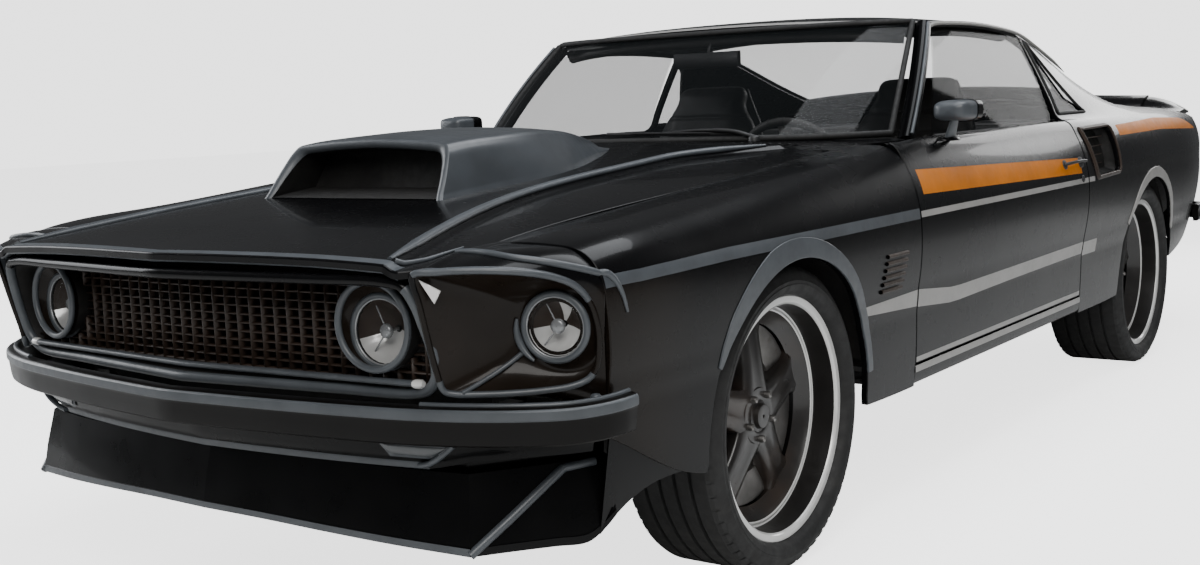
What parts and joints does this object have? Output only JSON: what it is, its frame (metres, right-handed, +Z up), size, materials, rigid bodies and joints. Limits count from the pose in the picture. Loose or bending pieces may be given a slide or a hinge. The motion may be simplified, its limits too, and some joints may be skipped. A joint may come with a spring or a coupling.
{
  "type": "muscle car",
  "caption": "Two-door fastback muscle car with opening doors, hood and trunk lid, steered front wheels, hood scoop, rear spoiler, side stripes and a full cabin.",
  "frame": {"origin": "centre of the overall box, on the ground under the tyres", "axes": "+Z up, +Y towards the tail (the nose faces -Y), +X towards the car's left side"},
  "size_m": [1.856, 4.76, 1.286],
  "materials": {
    "body_paint": "gloss",
    "slate_trim": "satin",
    "bumper_paint": "gloss",
    "dark_mesh": "satin",
    "chassis_black": "matte",
    "black_plastic": "satin",
    "interior_vinyl": "matte",
    "seat_vinyl": "matte",
    "clear_glass": "gloss",
    "lamp_glass": "gloss",
    "red_lens": "gloss",
    "tyre_rubber": "matte",
    "wheel_alloy": "gloss",
    "cast_block": "matte",
    "steel": "satin"
  },
  "bodies": {
    "car_body": {"left_front_fender": "body_paint", "right_front_fender": "body_paint", "fender_extensions": "body_paint", "headlamps": "lamp_glass", "grille_surround": "slate_trim", "grille": "dark_mesh", "radiator_support": "chassis_black", "front_bumper": "bumper_paint", "front_valance": "body_paint", "front_air_dam": "black_plastic", "cowl_panel": "body_paint", "firewall": "chassis_black", "dashboard": "interior_vinyl", "hinge_pillars": "chassis_black", "windshield": "clear_glass", "windshield_frame": "slate_trim", "roof_panel": "body_paint", "rear_glass": "clear_glass", "rear_shelf": "body_paint", "left_quarter_panel": "body_paint", "right_quarter_panel": "body_paint", "quarter_glass": "clear_glass", "tail_panel": "body_paint", "tail_lamps": "red_lens", "rear_bumper": "bumper_paint", "rocker_panels": "body_paint", "floor_pan": "chassis_black", "trunk_floor": "chassis_black", "wheelhouses": "chassis_black", "front_frame": "chassis_black", "engine_block": "cast_block", "gearbox_and_shaft": "steel", "suspension": "steel", "rear_axle": "steel", "exhaust": "steel", "fuel_tank": "steel", "front_seats": "seat_vinyl", "rear_seat": "seat_vinyl"},
    "left_door": {"left_door": "body_paint", "left_door_glass": "clear_glass", "left_mirror": "body_paint"},
    "right_door": {"right_door": "body_paint", "right_door_glass": "clear_glass", "right_mirror": "body_paint"},
    "hood": {"hood": "body_paint", "hood_scoop": "body_paint"},
    "trunk_lid": {"trunk_lid": "body_paint", "rear_spoiler": "body_paint"},
    "steering_wheel": {"steering_wheel": "black_plastic"},
    "left_knuckle": {"left_knuckle": "steel"},
    "right_knuckle": {"right_knuckle": "steel"},
    "front_left_wheel": {"front_left_tyre": "tyre_rubber", "front_left_wheel": "wheel_alloy"},
    "front_right_wheel": {"front_right_tyre": "tyre_rubber", "front_right_wheel": "wheel_alloy"},
    "rear_left_wheel": {"rear_left_tyre": "tyre_rubber", "rear_left_wheel": "wheel_alloy"},
    "rear_right_wheel": {"rear_right_tyre": "tyre_rubber", "rear_right_wheel": "wheel_alloy"}
  },
  "joints": [
    {"name": "left_door_hinge", "type": "hinge", "parent": "car_body", "child": "left_door", "pos_m": [0.862, -0.6615, 0.6], "axis": [0, 0, -1], "range_deg": [0, 65]},
    {"name": "right_door_hinge", "type": "hinge", "parent": "car_body", "child": "right_door", "pos_m": [-0.862, -0.6615, 0.6], "axis": [0, 0, 1], "range_deg": [0, 65]},
    {"name": "hood_hinge", "type": "hinge", "parent": "car_body", "child": "hood", "pos_m": [0, -0.94, 0.867], "axis": [-1, 0, 0], "range_deg": [0, 50]},
    {"name": "trunk_hinge", "type": "hinge", "parent": "car_body", "child": "trunk_lid", "pos_m": [0, 1.73, 0.934], "axis": [1, 0, 0], "range_deg": [0, 55]},
    {"name": "steer_left", "type": "hinge", "parent": "car_body", "child": "left_knuckle", "pos_m": [0.668, -1.38, 0.337], "axis": [0, 0, 1], "range_deg": [-30, 30]},
    {"name": "steer_right", "type": "hinge", "parent": "car_body", "child": "right_knuckle", "pos_m": [-0.668, -1.38, 0.337], "axis": [0, 0, 1], "range_deg": [-30, 30]},
    {"name": "steering_wheel_turn", "type": "hinge", "parent": "car_body", "child": "steering_wheel", "pos_m": [0.37, -0.56, 0.742], "axis": [0, 0.9272, 0.3746], "range_deg": [-480, 480]},
    {"name": "front_left_spin", "type": "hinge", "parent": "left_knuckle", "child": "front_left_wheel", "pos_m": [0.741, -1.38, 0.337], "axis": [1, 0, 0], "continuous": true},
    {"name": "front_right_spin", "type": "hinge", "parent": "right_knuckle", "child": "front_right_wheel", "pos_m": [-0.741, -1.38, 0.337], "axis": [1, 0, 0], "continuous": true},
    {"name": "rear_left_spin", "type": "hinge", "parent": "car_body", "child": "rear_left_wheel", "pos_m": [0.741, 1.363, 0.337], "axis": [1, 0, 0], "continuous": true},
    {"name": "rear_right_spin", "type": "hinge", "parent": "car_body", "child": "rear_right_wheel", "pos_m": [-0.741, 1.363, 0.337], "axis": [1, 0, 0], "continuous": true}
  ],
  "couplings": [
    {"joint": "steer_right", "follows": "steer_left", "ratio": 1},
    {"joint": "steering_wheel_turn", "follows": "steer_left", "ratio": 16}
  ]
}
